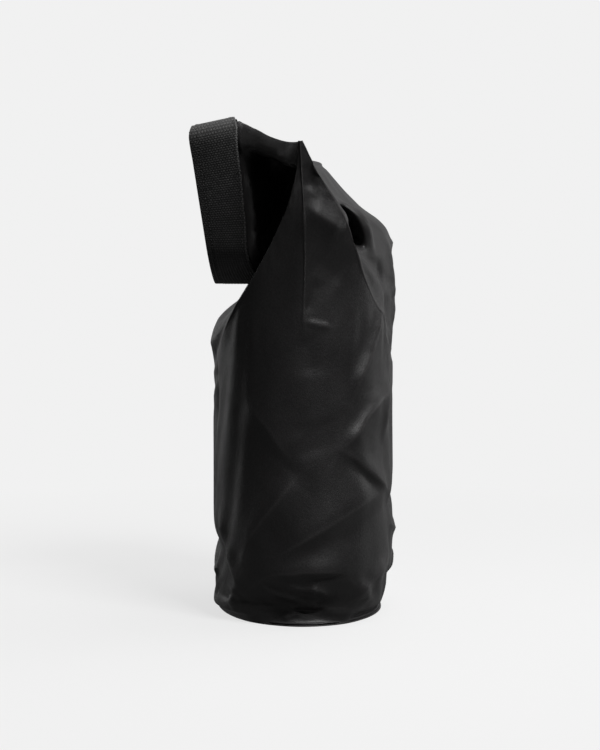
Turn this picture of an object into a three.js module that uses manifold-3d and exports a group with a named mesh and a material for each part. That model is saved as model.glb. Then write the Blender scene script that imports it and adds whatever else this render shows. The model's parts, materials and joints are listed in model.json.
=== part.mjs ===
// Roll-top rope storage bag of coated cloth, standing on its oval base.
// The flattened neck is folded forward over a crease across the top of the bag, and the
// webbing sewn round its mouth is buckled end to end, so that it makes a carrying ring
// in front of the shoulder. Millimetres, +Z up, front towards -Y, origin on the floor
// under the middle of the base.
import * as THREE from 'three';
import Module from 'manifold-3d';
import { mergeVertices } from 'three/addons/utils/BufferGeometryUtils.js';

// ---- Driving dimensions ----
const CLOTH = 1.4; // thickness of every cloth panel
const NECK_CLOTH = 1.1; // the same cloth, drawn thinner where it is folded double
const WEB = 1.8; // thickness of the mouth webbing
const STIFFENER = 0.9; // strip between the rear cloth and its webbing
const STIFFENER_WIDTH = 36;
const GAP = 0.3; // clearance between layers that touch
const HALF_WIDTH = 120; // oval body, along X
const HALF_DEPTH = 90; // oval body, along Y
const FOOT_HEIGHT = 20; // the wall rounds in to the base below this height
const FOOT_INSET_X = 8;
const FOOT_INSET_Y = 10;
const SHOULDER_Z = 262; // the wall stands straight up to here
const CREASE_Y = -3; // the neck folds forward along this line
const CREASE_Z = 448;
const CREASE_TOP = 445; // the panels stop just under the crease
const EAR_HEIGHT = 18; // the side corners stand up past the crease
const EAR_START = 135;
const EAR_END = 141;
const SEAM_TAPE_WIDTH = 22;
const BASE_TAPE_WIDTH = 15;
const BASE_TAPE_INSET = 2;
const TAPE = 0.8;
const FLAT_HALF_WIDTH = 165; // the cloth tube pressed flat, middle to side
const FLANGE = 25; // the neck's side edges hang down this far
const BAND = 50; // width of the mouth webbing
const RING_MIDDLE = new THREE.Vector3(0, -75, 405);
const RING_LEAN = THREE.MathUtils.degToRad(9);
const RING_HALF_WIDTH = 38;
const RING_BOTTOM = -78.5; // along the ring's leaning height
const RING_TOP = 75.5;
const RING_CORNER = 8;
const BAND_LEAD = 6; // the cloth runs straight into the band over this length
const BAND_TILT = THREE.MathUtils.degToRad(12); // the free edge dips at the top
const BAND_FLARE = THREE.MathUtils.degToRad(24); // the sewn edge spreads at the sides
const TAB_WIDTH = 29;
const TAB = 1.0;
const TAB_OFFSET = 2.6; // each leg of a tab from the middle of the buckle
const BUCKLE = { length: 59, width: 38, height: 11 };

// The folds between the side gores and the faces, as [height, x, depth]. The first point
// lies on the oval, at EDGE_ANGLE round from the side.
const EDGE_ANGLE = THREE.MathUtils.degToRad(68);
const EDGE_X = HALF_WIDTH * Math.cos(EDGE_ANGLE);
const EDGE_Y = HALF_DEPTH * Math.sin(EDGE_ANGLE);
const FRONT_EDGE = [
  [SHOULDER_Z, EDGE_X, -EDGE_Y],
  [282, 66, -78],
  [330, 104, -52],
  [374, 121, -31],
  [419, 135, -12],
  [432, 138, -7.5],
  [CREASE_TOP, 142, -5],
];
const REAR_EDGE = [
  [SHOULDER_Z, EDGE_X, EDGE_Y],
  [292, 66, 79],
  [330, 92, 68],
  [362, 112, 56],
  [403, 127, 37],
  [420, 134, 22],
  [432, 138, 11],
  [CREASE_TOP, 142, -1],
];
// The middle of each face, as [height, depth]. The front is pressed in behind the ring.
const FRONT_MIDDLE = [
  [SHOULDER_Z, -HALF_DEPTH],
  [284, -88.5],
  [300, -78],
  [310, -64],
  [318, -46],
  [326, -30],
  [345, -20],
  [380, -12.5],
  [420, -7],
  [CREASE_TOP, -5],
];
const REAR_MIDDLE = [
  [SHOULDER_Z, HALF_DEPTH],
  [340, 90],
  [370, 87],
  [382, 83.5],
  [391, 76],
  [401, 61],
  [415, 44],
  [430, 26],
  [439, 12],
  [CREASE_TOP, -1],
];
const SIDE = [
  [SHOULDER_Z, HALF_WIDTH, 0],
  [285, 120.5, 0.5],
  [408, 135, 0],
  [CREASE_TOP, 142, CREASE_Y],
];

// ---- Materials ----
const cloth = { color: 0x242223, roughness: 0.55, metalness: 0 };
const webbing = { color: 0x1b1b1b, roughness: 0.85, metalness: 0 };
const tape = { color: 0x2c2c2d, roughness: 0.45, metalness: 0 };
const plastic = { color: 0x101010, roughness: 0.35, metalness: 0 };

// ---- Shape helpers ----
const { clamp, smoothstep, lerp } = THREE.MathUtils;

// Reads a column of a table of points at one height, with straight runs between them.
function at(table, height, column = 1) {
  let i = 1;
  while (i < table.length - 1 && table[i][0] < height) i += 1;
  const [low, high] = [table[i - 1], table[i]];
  const t = clamp((height - low[0]) / (high[0] - low[0]), 0, 1);
  return lerp(low[column], high[column], t);
}

function steps(from, to, count) {
  return Array.from({ length: count + 1 }, (_, i) => lerp(from, to, i / count));
}

// The unit normal of a grid of points at one of them: along its row x up its column.
function gridNormal(grid, i, j) {
  const rows = grid.length - 1;
  const columns = grid[0].length - 1;
  const along = new THREE.Vector3().subVectors(
    grid[i][Math.min(j + 1, columns)],
    grid[i][Math.max(j - 1, 0)],
  );
  const up = new THREE.Vector3().subVectors(
    grid[Math.min(i + 1, rows)][j],
    grid[Math.max(i - 1, 0)][j],
  );
  return along.cross(up).normalize();
}

// A copy of a grid moved along its normals.
function moved(grid, offset) {
  return grid.map((row, i) => row.map((point, j) => (
    point.clone().addScaledVector(gridNormal(grid, i, j), offset)
  )));
}

// A closed sheet between two skins with the same rows and columns, the second one outside.
function sheet(inside, outside) {
  const rows = inside.length;
  const columns = inside[0].length;
  const positions = [...outside.flat(), ...inside.flat()].flatMap((point) => point.toArray());
  const top = (i, j) => i * columns + j;
  const under = (i, j) => rows * columns + top(i, j);
  const faces = [];
  const quad = (a, b, c, d) => faces.push(a, b, c, a, c, d);
  for (let i = 0; i < rows - 1; i += 1) {
    for (let j = 0; j < columns - 1; j += 1) {
      quad(top(i, j), top(i, j + 1), top(i + 1, j + 1), top(i + 1, j));
      quad(under(i, j), under(i + 1, j), under(i + 1, j + 1), under(i, j + 1));
    }
    const last = columns - 1;
    quad(top(i, 0), top(i + 1, 0), under(i + 1, 0), under(i, 0));
    quad(top(i + 1, last), top(i, last), under(i, last), under(i + 1, last));
  }
  for (let j = 0; j < columns - 1; j += 1) {
    const last = rows - 1;
    quad(top(0, j + 1), top(0, j), under(0, j), under(0, j + 1));
    quad(top(last, j), top(last, j + 1), under(last, j + 1), under(last, j));
  }
  const geometry = new THREE.BufferGeometry();
  geometry.setAttribute('position', new THREE.Float32BufferAttribute(positions, 3));
  geometry.setIndex(faces);
  geometry.computeVertexNormals();
  return geometry;
}

function ellipseShape(halfX, halfY) {
  const shape = new THREE.Shape();
  shape.absellipse(0, 0, halfX, halfY, 0, Math.PI * 2, false, 0);
  return shape;
}

const group = new THREE.Group();

function add(name, geometry, look, parent = group) {
  const mesh = new THREE.Mesh(geometry, new THREE.MeshStandardMaterial(look));
  mesh.name = name;
  parent.add(mesh);
  return mesh;
}

// ---- Body panels ----
// One point of the outer surface: part 0 is the side seam, 1 the gore's fold, 2 the middle
// of the face. The section is an ellipse arc low down and straight runs near the crease.
function wallPoint(edge, middle, part, height) {
  const side = [at(SIDE, height, 1), at(SIDE, height, 2)];
  const fold = [at(edge, height, 1), at(edge, height, 2)];
  const centre = at(middle, height);
  const round = 1 - smoothstep(height, SHOULDER_Z, SHOULDER_Z + 110);
  const inGore = part <= 1;
  const t = inGore ? part : part - 1;
  const angle = inGore ? t * EDGE_ANGLE : lerp(EDGE_ANGLE, Math.PI / 2, t);
  const start = inGore ? side : fold;
  const end = inGore ? fold : [0, centre];
  const arcX = inGore
    ? (1 - Math.cos(angle)) / (1 - Math.cos(EDGE_ANGLE))
    : 1 - Math.cos(angle) / Math.cos(EDGE_ANGLE);
  const arcY = inGore
    ? Math.sin(angle) / Math.sin(EDGE_ANGLE)
    : (Math.sin(angle) - Math.sin(EDGE_ANGLE)) / (1 - Math.sin(EDGE_ANGLE));
  const x = lerp(start[0], end[0], lerp(t, arcX, round));
  const y = lerp(start[1], end[1], lerp(t, arcY, round));
  const ear = EAR_HEIGHT * smoothstep(x, EAR_START, EAR_END);
  const lift = ear * smoothstep(height, CREASE_TOP - 25, CREASE_TOP);
  return new THREE.Vector3(x, y, height + lift);
}

const GORE_PARTS = steps(0, 1, 5);
const FACE_PARTS = [1.05, 1.16, 1.32, 1.5, 1.68, 1.84, 2];
const HALF_PARTS = [...GORE_PARTS, ...FACE_PARTS];
const WALL_HEIGHTS = [
  ...steps(FOOT_HEIGHT, SHOULDER_Z, 4),
  ...steps(SHOULDER_Z, 326, 4).slice(1),
  ...steps(326, CREASE_TOP - 25, 4).slice(1),
  ...steps(CREASE_TOP - 25, CREASE_TOP, 3).slice(1),
];

// The rows of a panel from the base seam up: the round foot, then the wall.
function panelGrid(edge, middle, facing) {
  const rows = [];
  const across = (point) => {
    const half = HALF_PARTS.map(point);
    const mirrored = half.slice(0, -1).map((p) => new THREE.Vector3(-p.x, p.y, p.z));
    const row = [...mirrored, ...half.reverse()];
    return facing < 0 ? row : row.reverse();
  };
  for (const angle of steps(-Math.PI / 2, 0, 4).slice(0, -1)) {
    const shrinkX = 1 - FOOT_INSET_X * (1 - Math.cos(angle)) / HALF_WIDTH;
    const shrinkY = 1 - FOOT_INSET_Y * (1 - Math.cos(angle)) / HALF_DEPTH;
    const z = FOOT_HEIGHT * (1 + Math.sin(angle));
    rows.push(across((part) => {
      const point = wallPoint(edge, middle, part, SHOULDER_Z);
      return new THREE.Vector3(point.x * shrinkX, point.y * shrinkY, z);
    }));
  }
  for (const height of WALL_HEIGHTS) {
    rows.push(across((part) => wallPoint(edge, middle, part, height)));
  }
  for (const point of rows.flat()) point.y += facing * GAP / 2;
  return rows;
}

// A panel's inner skin lies straight in from the outer one at the seams.
function panel(edge, middle, facing) {
  const outer = panelGrid(edge, middle, facing);
  const inner = moved(outer, -CLOTH);
  inner.forEach((row, i) => {
    row[0].y = outer[i][0].y;
    row.at(-1).y = outer[i].at(-1).y;
  });
  return sheet(inner, outer);
}

function frontPanel() {
  return panel(FRONT_EDGE, FRONT_MIDDLE, -1);
}

function rearPanel() {
  return panel(REAR_EDGE, REAR_MIDDLE, 1);
}

// The outline of the base, this far in from the wall's foot.
function baseOval(inset) {
  return [HALF_WIDTH - FOOT_INSET_X - inset, HALF_DEPTH - FOOT_INSET_Y - inset];
}

function basePanel() {
  const oval = ellipseShape(...baseOval(5 * GAP));
  return new THREE.ExtrudeGeometry(oval, { depth: CLOTH, bevelEnabled: false, curveSegments: 48 });
}

// The tape welded over the base seam, inside the bag.
function baseSeamTape() {
  const oval = ellipseShape(...baseOval(BASE_TAPE_INSET));
  oval.holes.push(ellipseShape(...baseOval(BASE_TAPE_INSET + BASE_TAPE_WIDTH)));
  const ring = new THREE.ExtrudeGeometry(oval, { depth: TAPE, bevelEnabled: false, curveSegments: 48 });
  return ring.translate(0, 0, CLOTH + 2.5 * GAP);
}

// The tape welded over a side seam, inside the bag.
function sideSeamTape(side) {
  const grid = steps(FOOT_HEIGHT + 4, 400, 12).map((height) => {
    const points = steps(-1, 1, 4).map((across) => {
      const edge = across < 0 ? FRONT_EDGE : REAR_EDGE;
      const middle = across < 0 ? FRONT_MIDDLE : REAR_MIDDLE;
      const depth = at(edge, height, 2);
      const reach = SEAM_TAPE_WIDTH / 2 / Math.abs(depth);
      const point = wallPoint(edge, middle, Math.abs(across) * reach * 0.95, height);
      return new THREE.Vector3(side * point.x, across * SEAM_TAPE_WIDTH / 2, point.z);
    });
    return side > 0 ? points : points.reverse();
  });
  const clear = CLOTH + 4 * GAP;
  return sheet(moved(grid, -clear - TAPE), moved(grid, -clear));
}

// ---- Ring of mouth webbing ----
const BOTTOM_ARC = RING_HALF_WIDTH * Math.PI / 2;
const SIDE_RUN = RING_TOP - RING_CORNER - (RING_BOTTOM + RING_HALF_WIDTH);
const CORNER_ARC = RING_CORNER * Math.PI / 2;

// The ring's middle line at a distance along it from the bottom: x, height and direction.
function ringLine(distance) {
  const way = Math.abs(distance);
  const hand = distance < 0 ? -1 : 1;
  let x;
  let height;
  let angle; // 0 points outward along X, 90 degrees points up
  if (way < BOTTOM_ARC) {
    angle = way / RING_HALF_WIDTH;
    x = RING_HALF_WIDTH * Math.sin(angle);
    height = RING_BOTTOM + RING_HALF_WIDTH * (1 - Math.cos(angle));
  } else if (way < BOTTOM_ARC + SIDE_RUN) {
    angle = Math.PI / 2;
    x = RING_HALF_WIDTH;
    height = RING_BOTTOM + RING_HALF_WIDTH + way - BOTTOM_ARC;
  } else {
    const turned = Math.min((way - BOTTOM_ARC - SIDE_RUN) / RING_CORNER, Math.PI / 2);
    const rest = Math.max(way - BOTTOM_ARC - SIDE_RUN - CORNER_ARC, 0);
    angle = Math.PI / 2 + turned;
    x = RING_HALF_WIDTH - RING_CORNER * (1 - Math.cos(turned)) - rest;
    height = RING_TOP - RING_CORNER * (1 - Math.sin(turned));
  }
  return { x: hand * x, height, along: [Math.cos(angle), hand * Math.sin(angle)] };
}

// A point of the band: distance round the ring, across from the sewn edge (-) to the free
// edge (+), and outward from its middle surface.
function bandPoint(distance, across, outward = 0) {
  const { x, height, along } = ringLine(distance);
  const up = new THREE.Vector3(0, -Math.sin(RING_LEAN), Math.cos(RING_LEAN));
  const tilt = BAND_TILT * smoothstep(height, RING_BOTTOM, RING_TOP);
  const way = Math.abs(distance);
  const spread = smoothstep(way, 0, BOTTOM_ARC) * (1 - smoothstep(way, 90, FLAT_HALF_WIDTH));
  const flare = BAND_FLARE * spread * Math.sign(distance);
  const axis = new THREE.Vector3(
    -Math.sin(flare),
    -Math.cos(flare) * Math.cos(tilt),
    -Math.cos(flare) * Math.sin(tilt),
  );
  const tangent = new THREE.Vector3(along[0], 0, 0).addScaledVector(up, along[1]);
  const normal = new THREE.Vector3().crossVectors(tangent, axis).normalize();
  return RING_MIDDLE.clone()
    .add(new THREE.Vector3(x, 0, 0))
    .addScaledVector(up, height)
    .addScaledVector(axis, across)
    .addScaledVector(normal, outward);
}

// ---- Neck ----
// Where the neck's cloth leaves the crease, as a function of the distance from its middle.
function neckStart(distance) {
  const way = Math.abs(distance);
  const hand = Math.sign(distance);
  const inner = FLAT_HALF_WIDTH - FLANGE;
  if (way > inner) {
    const t = (way - inner) / FLANGE;
    return new THREE.Vector3(hand * lerp(131, 132, t), lerp(-12, -8, t), lerp(438, 462, t));
  }
  const drop = 9 * smoothstep(way, 95, inner);
  return new THREE.Vector3(131 * distance / inner, CREASE_Y - 6 - drop / 3, CREASE_Z - 1 - drop);
}

const SHEET_DISTANCES = [
  ...steps(-FLAT_HALF_WIDTH, -BOTTOM_ARC, 10),
  ...steps(-BOTTOM_ARC, BOTTOM_ARC, 14).slice(1, -1),
  ...steps(BOTTOM_ARC, FLAT_HALF_WIDTH, 10),
];

// A skin of the neck, this far out from its middle surface, from the crease to the free edge.
function neckSkin(outward) {
  const rows = steps(0, 1, 5).slice(0, -1).map((t) => SHEET_DISTANCES.map((distance) => {
    const start = neckStart(distance);
    const sewn = bandPoint(distance, -BAND / 2);
    const lead = bandPoint(distance, -BAND / 2 - BAND_LEAD);
    const bend = start.clone().lerp(lead, 0.4);
    return new THREE.CubicBezierCurve3(start, bend, lead, sewn).getPoint(t);
  }));
  const band = steps(-BAND / 2, BAND / 2, 2).map((across) => SHEET_DISTANCES.map((distance) => (
    bandPoint(distance, across, outward)
  )));
  return [...moved(rows, outward), ...band];
}

function frontNeck() {
  return sheet(neckSkin(GAP / 2), neckSkin(GAP / 2 + NECK_CLOTH));
}

function rearNeck() {
  return sheet(neckSkin(-GAP / 2 - NECK_CLOTH), neckSkin(-GAP / 2));
}

// ---- Webbing, stiffener and tabs ----
const CLOTH_STACK = GAP / 2 + NECK_CLOTH + GAP;
const STIFFENER_ROOM = 0.9; // its long edges and the cloth's twist differently
const STIFFENER_IN = GAP / 2 + NECK_CLOTH + STIFFENER_ROOM;
const TAB_ROOM = TAB_OFFSET + TAB / 2 + GAP;
const SIDE_TOP = BOTTOM_ARC + SIDE_RUN;
const WEB_END = SIDE_TOP + CORNER_ARC - 0.5;
const CORNER_DISTANCES = steps(SIDE_TOP, WEB_END, 4);
const WEB_DISTANCES = [
  ...CORNER_DISTANCES.map((distance) => -distance).reverse(),
  ...SHEET_DISTANCES,
  ...CORNER_DISTANCES,
];

// A skin of a webbing strip. It lies at one offset over the cloth and at another over the
// tabs, and its corners are cut in where it meets the buckle.
function webSkin(overCloth, overTab) {
  return [-1, 0, 1].map((across) => WEB_DISTANCES.map((distance) => {
    const way = Math.abs(distance);
    const half = BAND / 2 - 6 * smoothstep(way, SIDE_TOP, WEB_END);
    const outward = lerp(overCloth, overTab, smoothstep(way, FLAT_HALF_WIDTH - 20, SIDE_TOP));
    return bandPoint(distance, across * half, outward);
  }));
}

function outerWebbing() {
  return sheet(webSkin(CLOTH_STACK, TAB_ROOM), webSkin(CLOTH_STACK + WEB, TAB_ROOM + WEB));
}

function innerWebbing() {
  const start = STIFFENER_IN + STIFFENER + STIFFENER_ROOM;
  return sheet(webSkin(-start - WEB, -TAB_ROOM - WEB), webSkin(-start, -TAB_ROOM));
}

function mouthStiffener() {
  const distances = SHEET_DISTANCES.slice(2, -2);
  const skin = (outward) => [-1, 1].map((hand) => distances.map((distance) => (
    bandPoint(distance, hand * STIFFENER_WIDTH / 2, outward)
  )));
  return sheet(skin(-STIFFENER_IN - STIFFENER), skin(-STIFFENER_IN));
}

// A narrow tab that leaves the band's end, goes round the buckle's bar and comes back.
const BAR_X = BUCKLE.length / 2 - 4;

function bucklePoint(x, y, z) {
  return BUCKLE_SEAT.clone().add(new THREE.Vector3(x, y, z).applyEuler(BUCKLE_TURN));
}

const BUCKLE_TURN = new THREE.Euler(BAND_TILT, 0, 0);
const BUCKLE_SEAT = bandPoint(WEB_END + RING_HALF_WIDTH, 0).setX(0);

function tabSkin(side, shift) {
  const reach = TAB_OFFSET + shift;
  return [-side, side].map((hand) => {
    const across = hand * TAB_WIDTH / 2;
    const leg = (outward) => CORNER_DISTANCES.map((distance) => (
      bandPoint(side * distance, across, outward)
    ));
    const loop = steps(Math.PI / 2, Math.PI * 1.5, 8).map((angle) => (
      bucklePoint(side * (BAR_X + reach * Math.cos(angle)), -across, reach * Math.sin(angle))
    ));
    return [...leg(reach), ...loop, ...leg(-reach).reverse()];
  });
}

function tab(side) {
  return sheet(tabSkin(side, -TAB / 2), tabSkin(side, TAB / 2));
}

// ---- Side-release buckle ----
const wasm = await Module();
wasm.setup();

function solid(geometry) {
  const plain = geometry.index ? geometry.toNonIndexed() : geometry.clone();
  plain.deleteAttribute('normal');
  plain.deleteAttribute('uv');
  const merged = mergeVertices(plain, 1e-4);
  return new wasm.Manifold(new wasm.Mesh({
    numProp: 3,
    vertProperties: new Float32Array(merged.attributes.position.array),
    triVerts: new Uint32Array(merged.index.array),
  }));
}

function geometryOf(body) {
  const { vertProperties, triVerts } = body.getMesh();
  const geometry = new THREE.BufferGeometry();
  geometry.setAttribute('position', new THREE.Float32BufferAttribute(vertProperties, 3));
  geometry.setIndex(Array.from(triVerts));
  geometry.computeVertexNormals();
  return geometry;
}

function block(minX, maxX, minY, maxY, minZ, maxZ) {
  const box = new THREE.BoxGeometry(maxX - minX, maxY - minY, maxZ - minZ);
  return solid(box.translate((minX + maxX) / 2, (minY + maxY) / 2, (minZ + maxZ) / 2));
}

// A plate with round corners, level with the middle of the buckle.
function roundPlate(minX, maxX, halfY, radius, height) {
  const shape = new THREE.Shape();
  shape.moveTo(minX + radius, -halfY);
  shape.lineTo(maxX - radius, -halfY);
  shape.absarc(maxX - radius, radius - halfY, radius, -Math.PI / 2, 0, false);
  shape.absarc(maxX - radius, halfY - radius, radius, 0, Math.PI / 2, false);
  shape.absarc(minX + radius, halfY - radius, radius, Math.PI / 2, Math.PI, false);
  shape.absarc(minX + radius, radius - halfY, radius, Math.PI, Math.PI * 1.5, false);
  const bevel = 1.2;
  const plate = new THREE.ExtrudeGeometry(shape, {
    depth: height - 2 * bevel,
    bevelEnabled: true,
    bevelThickness: bevel,
    bevelSize: bevel,
    bevelOffset: -bevel,
    bevelSegments: 2,
    curveSegments: 5,
  });
  return solid(plate.translate(0, 0, bevel - height / 2));
}

const END_X = BUCKLE.length / 2;
const SPLIT_X = 5; // the socket's mouth
const SLOT_HALF = TAB_WIDTH / 2 + 0.8;
const BAR_HALF = 1.3;

// The open end that holds a tab: a bar between two cheeks.
function cutTabEnd(body) {
  const past = END_X + 2;
  const low = BAR_X - TAB_OFFSET - TAB - 0.6;
  const slot = block(low, BAR_X - BAR_HALF, -SLOT_HALF, SLOT_HALF, -9, 9);
  const end = block(BAR_X + BAR_HALF, past, -SLOT_HALF, SLOT_HALF, -9, 9);
  const above = block(low, past, -SLOT_HALF, SLOT_HALF, BAR_HALF, 9);
  const below = block(low, past, -SLOT_HALF, SLOT_HALF, -9, -BAR_HALF);
  return body.subtract(slot).subtract(end).subtract(above).subtract(below);
}

const PRONG = { root: 13, tip: -15, halfHeight: 2.2, y: 12.4, width: 2.6 };
const CAVITY = { end: -17.5, halfY: 16.2, halfZ: 3.4 };
const WINDOW = { minX: -12.5, maxX: -1.5 };

function buckleSocket() {
  const shell = roundPlate(-SPLIT_X, END_X, BUCKLE.width / 2, 4, BUCKLE.height);
  const ended = cutTabEnd(shell).mirror([1, 0, 0]);
  const cavity = block(CAVITY.end, SPLIT_X + 1, -CAVITY.halfY, CAVITY.halfY, -CAVITY.halfZ, CAVITY.halfZ);
  const windows = block(WINDOW.minX, WINDOW.maxX, -30, 30, -CAVITY.halfZ, CAVITY.halfZ);
  return geometryOf(ended.subtract(cavity).subtract(windows));
}

// The plug: cheeks and bar, a shoulder, and a guide tongue between the prongs.
function bucklePlug() {
  const frame = cutTabEnd(roundPlate(SPLIT_X + 0.6, END_X, BUCKLE.width / 2, 3.5, BUCKLE.height));
  const tongue = block(-14, SPLIT_X + 3, -3, 3, -2.4, 2.4);
  const roots = block(SPLIT_X - 1, PRONG.root + 1.6, -17, 17, -CAVITY.halfZ, CAVITY.halfZ);
  return geometryOf(frame.subtract(roots).add(tongue).add(plugWeb()));
}

// The thin wall that joins the tongue to the frame between the prongs' roots.
function plugWeb() {
  return block(SPLIT_X + 0.6, PRONG.root + 2, -6, 6, -CAVITY.halfZ - 0.5, CAVITY.halfZ + 0.5);
}

// A sprung prong, drawn from above: arm, then a head whose outer side is the push button.
function prong(side) {
  const { root, tip, halfHeight, y, width } = PRONG;
  const shape = new THREE.Shape();
  shape.moveTo(root, y - width / 2);
  shape.lineTo(root, y + width / 2);
  shape.lineTo(WINDOW.maxX - 1, y + width / 2 + 0.6);
  shape.quadraticCurveTo(WINDOW.maxX - 1.2, BUCKLE.width / 2 + 0.4, WINDOW.maxX - 3, BUCKLE.width / 2 + 0.6);
  shape.lineTo(WINDOW.minX + 2, BUCKLE.width / 2 - 0.6);
  shape.quadraticCurveTo(WINDOW.minX + 0.6, y + width, tip, y);
  shape.lineTo(tip + 1, y - 2.4);
  shape.quadraticCurveTo(WINDOW.minX + 2, y + 1.6, WINDOW.maxX - 3, y - 0.6);
  const extrude = new THREE.ExtrudeGeometry(shape, {
    depth: 2 * halfHeight,
    bevelEnabled: false,
    curveSegments: 6,
  });
  extrude.translate(0, 0, -halfHeight);
  const body = solid(extrude);
  return geometryOf(side > 0 ? body : body.mirror([0, 1, 0]));
}

// ---- Assembly ----
add('base_panel', basePanel(), cloth);
add('base_seam_tape', baseSeamTape(), tape);
add('front_panel', frontPanel(), cloth);
add('rear_panel', rearPanel(), cloth);
add('right_seam_tape', sideSeamTape(1), tape);
add('left_seam_tape', sideSeamTape(-1), tape);
add('front_neck', frontNeck(), cloth);
add('rear_neck', rearNeck(), cloth);
add('outer_mouth_webbing', outerWebbing(), webbing);
add('inner_mouth_webbing', innerWebbing(), webbing);
add('mouth_stiffener', mouthStiffener(), plastic);
add('plug_tab', tab(1), webbing);
add('socket_tab', tab(-1), webbing);

const buckle = new THREE.Group();
buckle.position.copy(BUCKLE_SEAT);
buckle.rotation.copy(BUCKLE_TURN);
group.add(buckle);
add('buckle_socket', buckleSocket(), plastic, buckle);
add('buckle_plug', bucklePlug(), plastic, buckle);
add('rear_prong', prong(1), plastic, buckle);
add('front_prong', prong(-1), plastic, buckle);

export default group;
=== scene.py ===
# Roll-top rope storage bag in black coated cloth: the looks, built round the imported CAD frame.
# The neck is folded forward over a crease and its webbing mouth is buckled into a ring.
# Lengths inside the shape functions are millimetres; add_mesh() turns them into metres.
import json
import math

import bmesh
import bpy
import numpy as np
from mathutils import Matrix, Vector


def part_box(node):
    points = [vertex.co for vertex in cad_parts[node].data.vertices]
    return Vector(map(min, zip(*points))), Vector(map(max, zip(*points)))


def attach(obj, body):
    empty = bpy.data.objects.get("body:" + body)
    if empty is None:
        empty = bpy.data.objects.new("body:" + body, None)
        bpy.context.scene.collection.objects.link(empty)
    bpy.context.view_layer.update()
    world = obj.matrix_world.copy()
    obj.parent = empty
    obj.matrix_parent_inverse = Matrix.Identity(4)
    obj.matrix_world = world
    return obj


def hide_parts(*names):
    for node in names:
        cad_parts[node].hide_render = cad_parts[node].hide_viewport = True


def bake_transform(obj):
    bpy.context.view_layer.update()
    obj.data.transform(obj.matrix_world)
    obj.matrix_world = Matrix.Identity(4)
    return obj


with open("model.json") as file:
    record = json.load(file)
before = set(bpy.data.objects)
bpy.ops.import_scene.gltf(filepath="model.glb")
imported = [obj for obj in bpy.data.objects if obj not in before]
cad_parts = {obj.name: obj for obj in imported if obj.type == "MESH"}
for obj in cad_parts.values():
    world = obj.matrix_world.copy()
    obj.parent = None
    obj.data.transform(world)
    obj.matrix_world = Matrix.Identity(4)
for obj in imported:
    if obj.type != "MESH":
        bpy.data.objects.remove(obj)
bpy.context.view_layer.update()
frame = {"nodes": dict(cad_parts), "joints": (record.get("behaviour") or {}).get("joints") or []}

MM = 0.001
X_WAY = np.array([1.0, 0, 0])


def box_mm(node):
    """The lowest and highest corner of a CAD node, in millimetres."""
    low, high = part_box(node)
    return np.array(low) / MM, np.array(high) / MM


def grid_faces(rows, columns, closed=False):
    """The faces of a grid of points, its last column joined to its first if closed."""
    i, j = np.meshgrid(np.arange(rows - 1), np.arange(columns - (not closed)), indexing="ij")
    a = (i * columns + j).ravel()
    b = (i * columns + (j + 1) % columns).ravel()
    return np.stack([a, b, b + columns, a + columns], axis=1).tolist()


def add_object(name, data):
    piece = bpy.data.objects.new(name, data)
    bpy.context.scene.collection.objects.link(piece)
    return piece


# ---- Node trees ----
MIX_A, MIX_B, MIX_RESULT = 6, 7, 2  # the colour sockets of a Mix node


class Nodes:
    """A material's node tree, with short calls for the nodes that several materials use."""

    def __init__(self, name):
        self.material = bpy.data.materials.new(name)
        self.material.use_nodes = True
        self.tree = self.material.node_tree
        self.shader = self.tree.nodes["Principled BSDF"]
        self.place = self.node("TexCoord").outputs["Object"]

    def node(self, kind, inputs=None, **settings):
        node = self.tree.nodes.new("ShaderNode" + kind)
        for key, value in settings.items():
            setattr(node, key, value)
        for key, value in (inputs or {}).items():
            self.feed(node.inputs[key], value)
        return node

    def feed(self, socket, value):
        if isinstance(value, bpy.types.NodeSocket):
            self.tree.links.new(value, socket)
        else:
            socket.default_value = value

    def maths(self, operation, a, b=0.0, clamp=False):
        node = self.node("Math", {0: a, 1: b}, operation=operation, use_clamp=clamp)
        return node.outputs[0]

    def noise(self, scale, detail=3.0, roughness=0.5):
        inputs = {"Vector": self.place, "Scale": scale, "Detail": detail, "Roughness": roughness}
        return self.node("TexNoise", inputs).outputs["Fac"]

    def spread(self, value, out_low=0.0, out_high=1.0, low=0.3, high=0.7):
        """The value, carried from low and high to out_low and out_high."""
        inputs = {"Value": value, 1: low, 2: high, 3: out_low, 4: out_high}
        return self.node("MapRange", inputs).outputs[0]

    def tint(self, amount, dark, light):
        node = self.node("Mix", data_type="RGBA")
        self.feed(node.inputs[0], amount)
        node.inputs[MIX_A].default_value = (*dark, 1)
        node.inputs[MIX_B].default_value = (*light, 1)
        return node.outputs[MIX_RESULT]

    def bump(self, height, distance, strength=1.0, below=None):
        inputs = {"Height": height, "Distance": distance, "Strength": strength}
        if below is not None:
            inputs["Normal"] = below
        return self.node("Bump", inputs).outputs["Normal"]

    def cloth_millimetres(self):
        uv = self.node("UVMap", uv_map="cloth").outputs["UV"]
        scaled = self.node("VectorMath", {0: uv, 1: (1000, 1000, 1000)}, operation="MULTIPLY")
        return scaled.outputs[0]

    def wear(self):
        return self.node("Attribute", attribute_name="wear").outputs["Fac"]

    def finish(self, colour, roughness, normal, specular=0.5, sheen=0.0, sheen_roughness=0.4):
        self.feed(self.shader.inputs["Base Color"], colour)
        self.feed(self.shader.inputs["Roughness"], roughness)
        self.feed(self.shader.inputs["Normal"], normal)
        self.shader.inputs["Specular IOR Level"].default_value = specular
        self.shader.inputs["Sheen Weight"].default_value = sheen
        self.shader.inputs["Sheen Roughness"].default_value = sheen_roughness
        return self.material


# ---- Camera, floor and light ----
VIEW_DISTANCE = 2.2
VIEW_ELEVATION = math.radians(5.0)
VIEW_TARGET = Vector((0.0, -0.003, 0.233))
VIEW_HEIGHT = 0.75  # what the picture's height covers at the target
SENSOR = 36.0
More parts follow.
